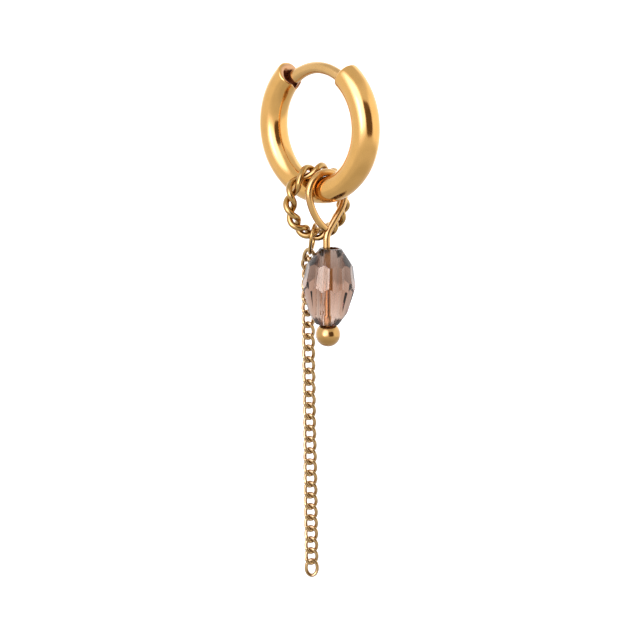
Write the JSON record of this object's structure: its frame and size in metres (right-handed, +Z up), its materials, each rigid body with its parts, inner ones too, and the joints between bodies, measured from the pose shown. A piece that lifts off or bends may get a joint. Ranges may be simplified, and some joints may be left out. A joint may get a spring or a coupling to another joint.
{
  "type": "chain hoop earring",
  "caption": "Hinged hoop earring with a twisted wire ring, a faceted crystal drop on a ball-ended head pin and a long fine curb chain.",
  "frame": {"origin": "middle of the ear wire's thickness at its highest point, where the earlobe carries the earring", "axes": "+Z up, along the hanging drop and chain; the hoop stands in the XZ plane, -Y is its front, the catch is at -X and the hinge at +X"},
  "size_m": [0.0144, 0.007, 0.0515],
  "materials": {
    "gold_tube": "polished gold plate",
    "gold_rope": "polished gold plate",
    "gold_wire": "polished gold plate",
    "gold_chain": "polished gold plate",
    "smoky_glass": "clear faceted, smoky taupe"
  },
  "bodies": {
    "ear_wire": {"ear_wire": "gold_tube"},
    "hoop": {"hoop_tube": "gold_tube", "hinge_pin": "gold_tube", "twisted_ring": "gold_rope", "jump_ring": "gold_wire", "chain": "gold_chain"},
    "drop": {"head_pin": "gold_wire", "crystal_bead": "smoky_glass"}
  },
  "joints": [
    {"name": "hoop_hinge", "type": "hinge", "parent": "ear_wire", "child": "hoop", "pos_m": [0.00361, 0, -0.00135], "axis": [0, 1, 0], "range_deg": [0, 50]},
    {"name": "drop_swing", "type": "hinge", "parent": "hoop", "child": "drop", "pos_m": [0.00087, 0, -0.01144], "axis": [1, 0, 0], "range_deg": [-12, 12]}
  ]
}
